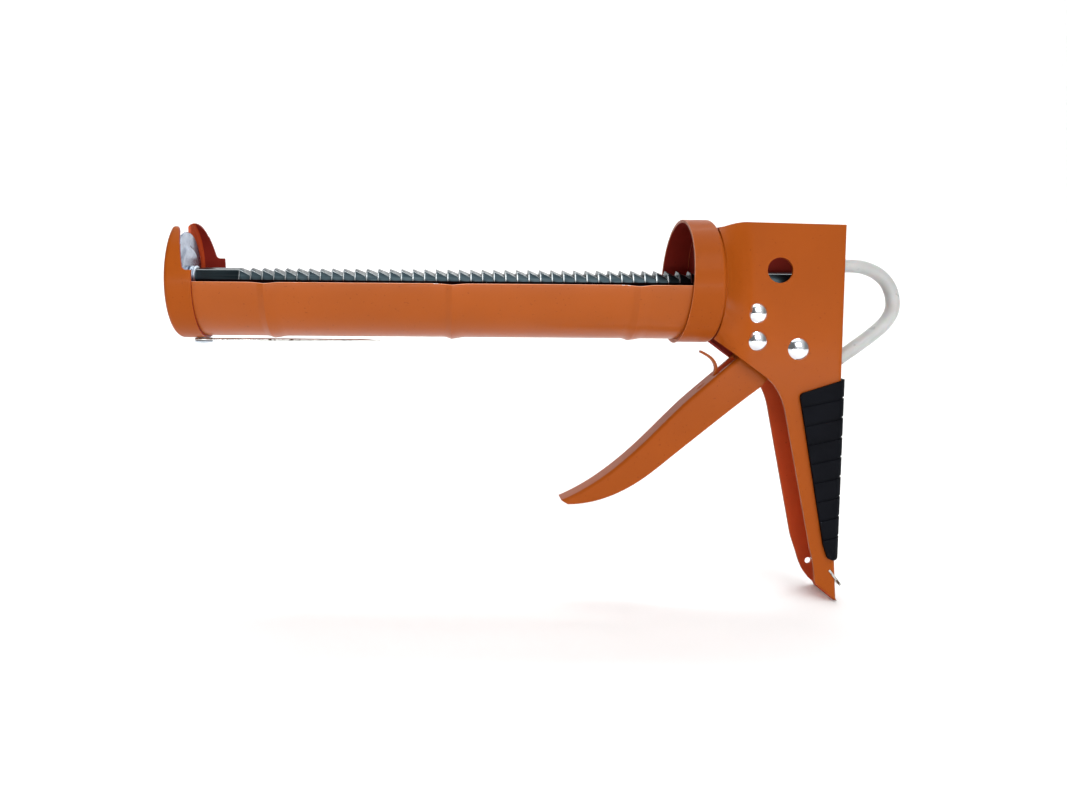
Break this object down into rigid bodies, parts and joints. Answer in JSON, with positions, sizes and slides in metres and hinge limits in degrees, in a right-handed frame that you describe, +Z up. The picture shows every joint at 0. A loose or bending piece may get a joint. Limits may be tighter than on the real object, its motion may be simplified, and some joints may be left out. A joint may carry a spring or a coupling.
{
  "type": "caulking gun",
  "caption": "Half-barrel caulking gun: sheet-steel cradle, toothed push rod with pull hook, trigger drive, folded handle with rubber grip and swing-out piercing needle.",
  "frame": {"origin": "on the rod and barrel axis, at the inner face of the front cap, where a cartridge's shoulder seats", "axes": "+X back along the barrel towards the handle, +Z up, the middle plane is Y = 0"},
  "size_m": [0.3259, 0.0554, 0.1687],
  "materials": {
    "orange_paint": "gloss baked enamel",
    "dark_steel": "dark oiled bright-drawn steel",
    "zinc": "bright zinc plate",
    "bright_steel": "polished",
    "hard_steel": "hardened, satin",
    "chrome": "polished domes",
    "black_rubber": "matte moulded",
    "clear_sleeve": "translucent soft plastic"
  },
  "bodies": {
    "frame": {"front_cap": "orange_paint", "cradle": "orange_paint", "rear_collar": "orange_paint", "rod_guide_bush": "zinc", "handle_frame": "orange_paint", "rear_rod_bush": "zinc", "grip_sleeve": "black_rubber", "spout_cutter": "bright_steel", "frame_rivets": "chrome", "trigger_pivot_rivet": "chrome", "trigger_stop_spacer": "zinc", "pawl_spacers": "zinc", "pivot_spacers": "zinc", "hold_pawl_spring": "bright_steel", "needle_rivet": "zinc"},
    "plunger": {"pusher_disc": "zinc"},
    "push_rod": {"ratchet_rod": "dark_steel", "disc_thrust_washer": "zinc", "rod_end_screw": "zinc", "rod_end_plate": "zinc", "pull_hook": "bright_steel", "hook_sleeve": "clear_sleeve"},
    "trigger_lever": {"trigger": "orange_paint", "trigger_return_spring": "bright_steel", "drive_pawl_pin": "bright_steel", "drive_pawl_spring": "bright_steel"},
    "drive_catch": {"drive_pawl": "hard_steel"},
    "hold_catch": {"hold_pawl": "hard_steel"},
    "piercing_needle": {"needle": "bright_steel"}
  },
  "joints": [
    {"name": "rod_slide", "type": "slide", "parent": "frame", "child": "plunger", "axis": [1, 0, 0], "range_m": [0, 0.224]},
    {"name": "rod_turn", "type": "hinge", "parent": "plunger", "child": "push_rod", "pos_m": [0, 0, 0], "axis": [1, 0, 0], "range_deg": [0, 180]},
    {"name": "trigger_pull", "type": "hinge", "parent": "frame", "child": "trigger_lever", "pos_m": [0.27475, 0, -0.0299], "axis": [0, -1, 0], "range_deg": [0, 40], "stiffness_Nm_per_rad": 0.35, "springref_deg": -20.05},
    {"name": "drive_pawl_swing", "type": "hinge", "parent": "trigger_lever", "child": "drive_catch", "pos_m": [0.28029, 0, -0.01468], "axis": [0, -1, 0], "range_deg": [-40, 0]},
    {"name": "hold_pawl_swing", "type": "hinge", "parent": "frame", "child": "hold_catch", "pos_m": [0.25655, 0, -0.0142], "axis": [0, -1, 0], "range_deg": [0, 20], "stiffness_Nm_per_rad": 0.01, "springref_deg": -17.19},
    {"name": "needle_swing", "type": "hinge", "parent": "frame", "child": "piercing_needle", "pos_m": [0.0088, 0, -0.02815], "axis": [0, 0, 1], "range_deg": [0, 180]}
  ],
  "couplings": [
    {"joint": "drive_pawl_swing", "follows": "trigger_pull", "ratio": -1}
  ]
}
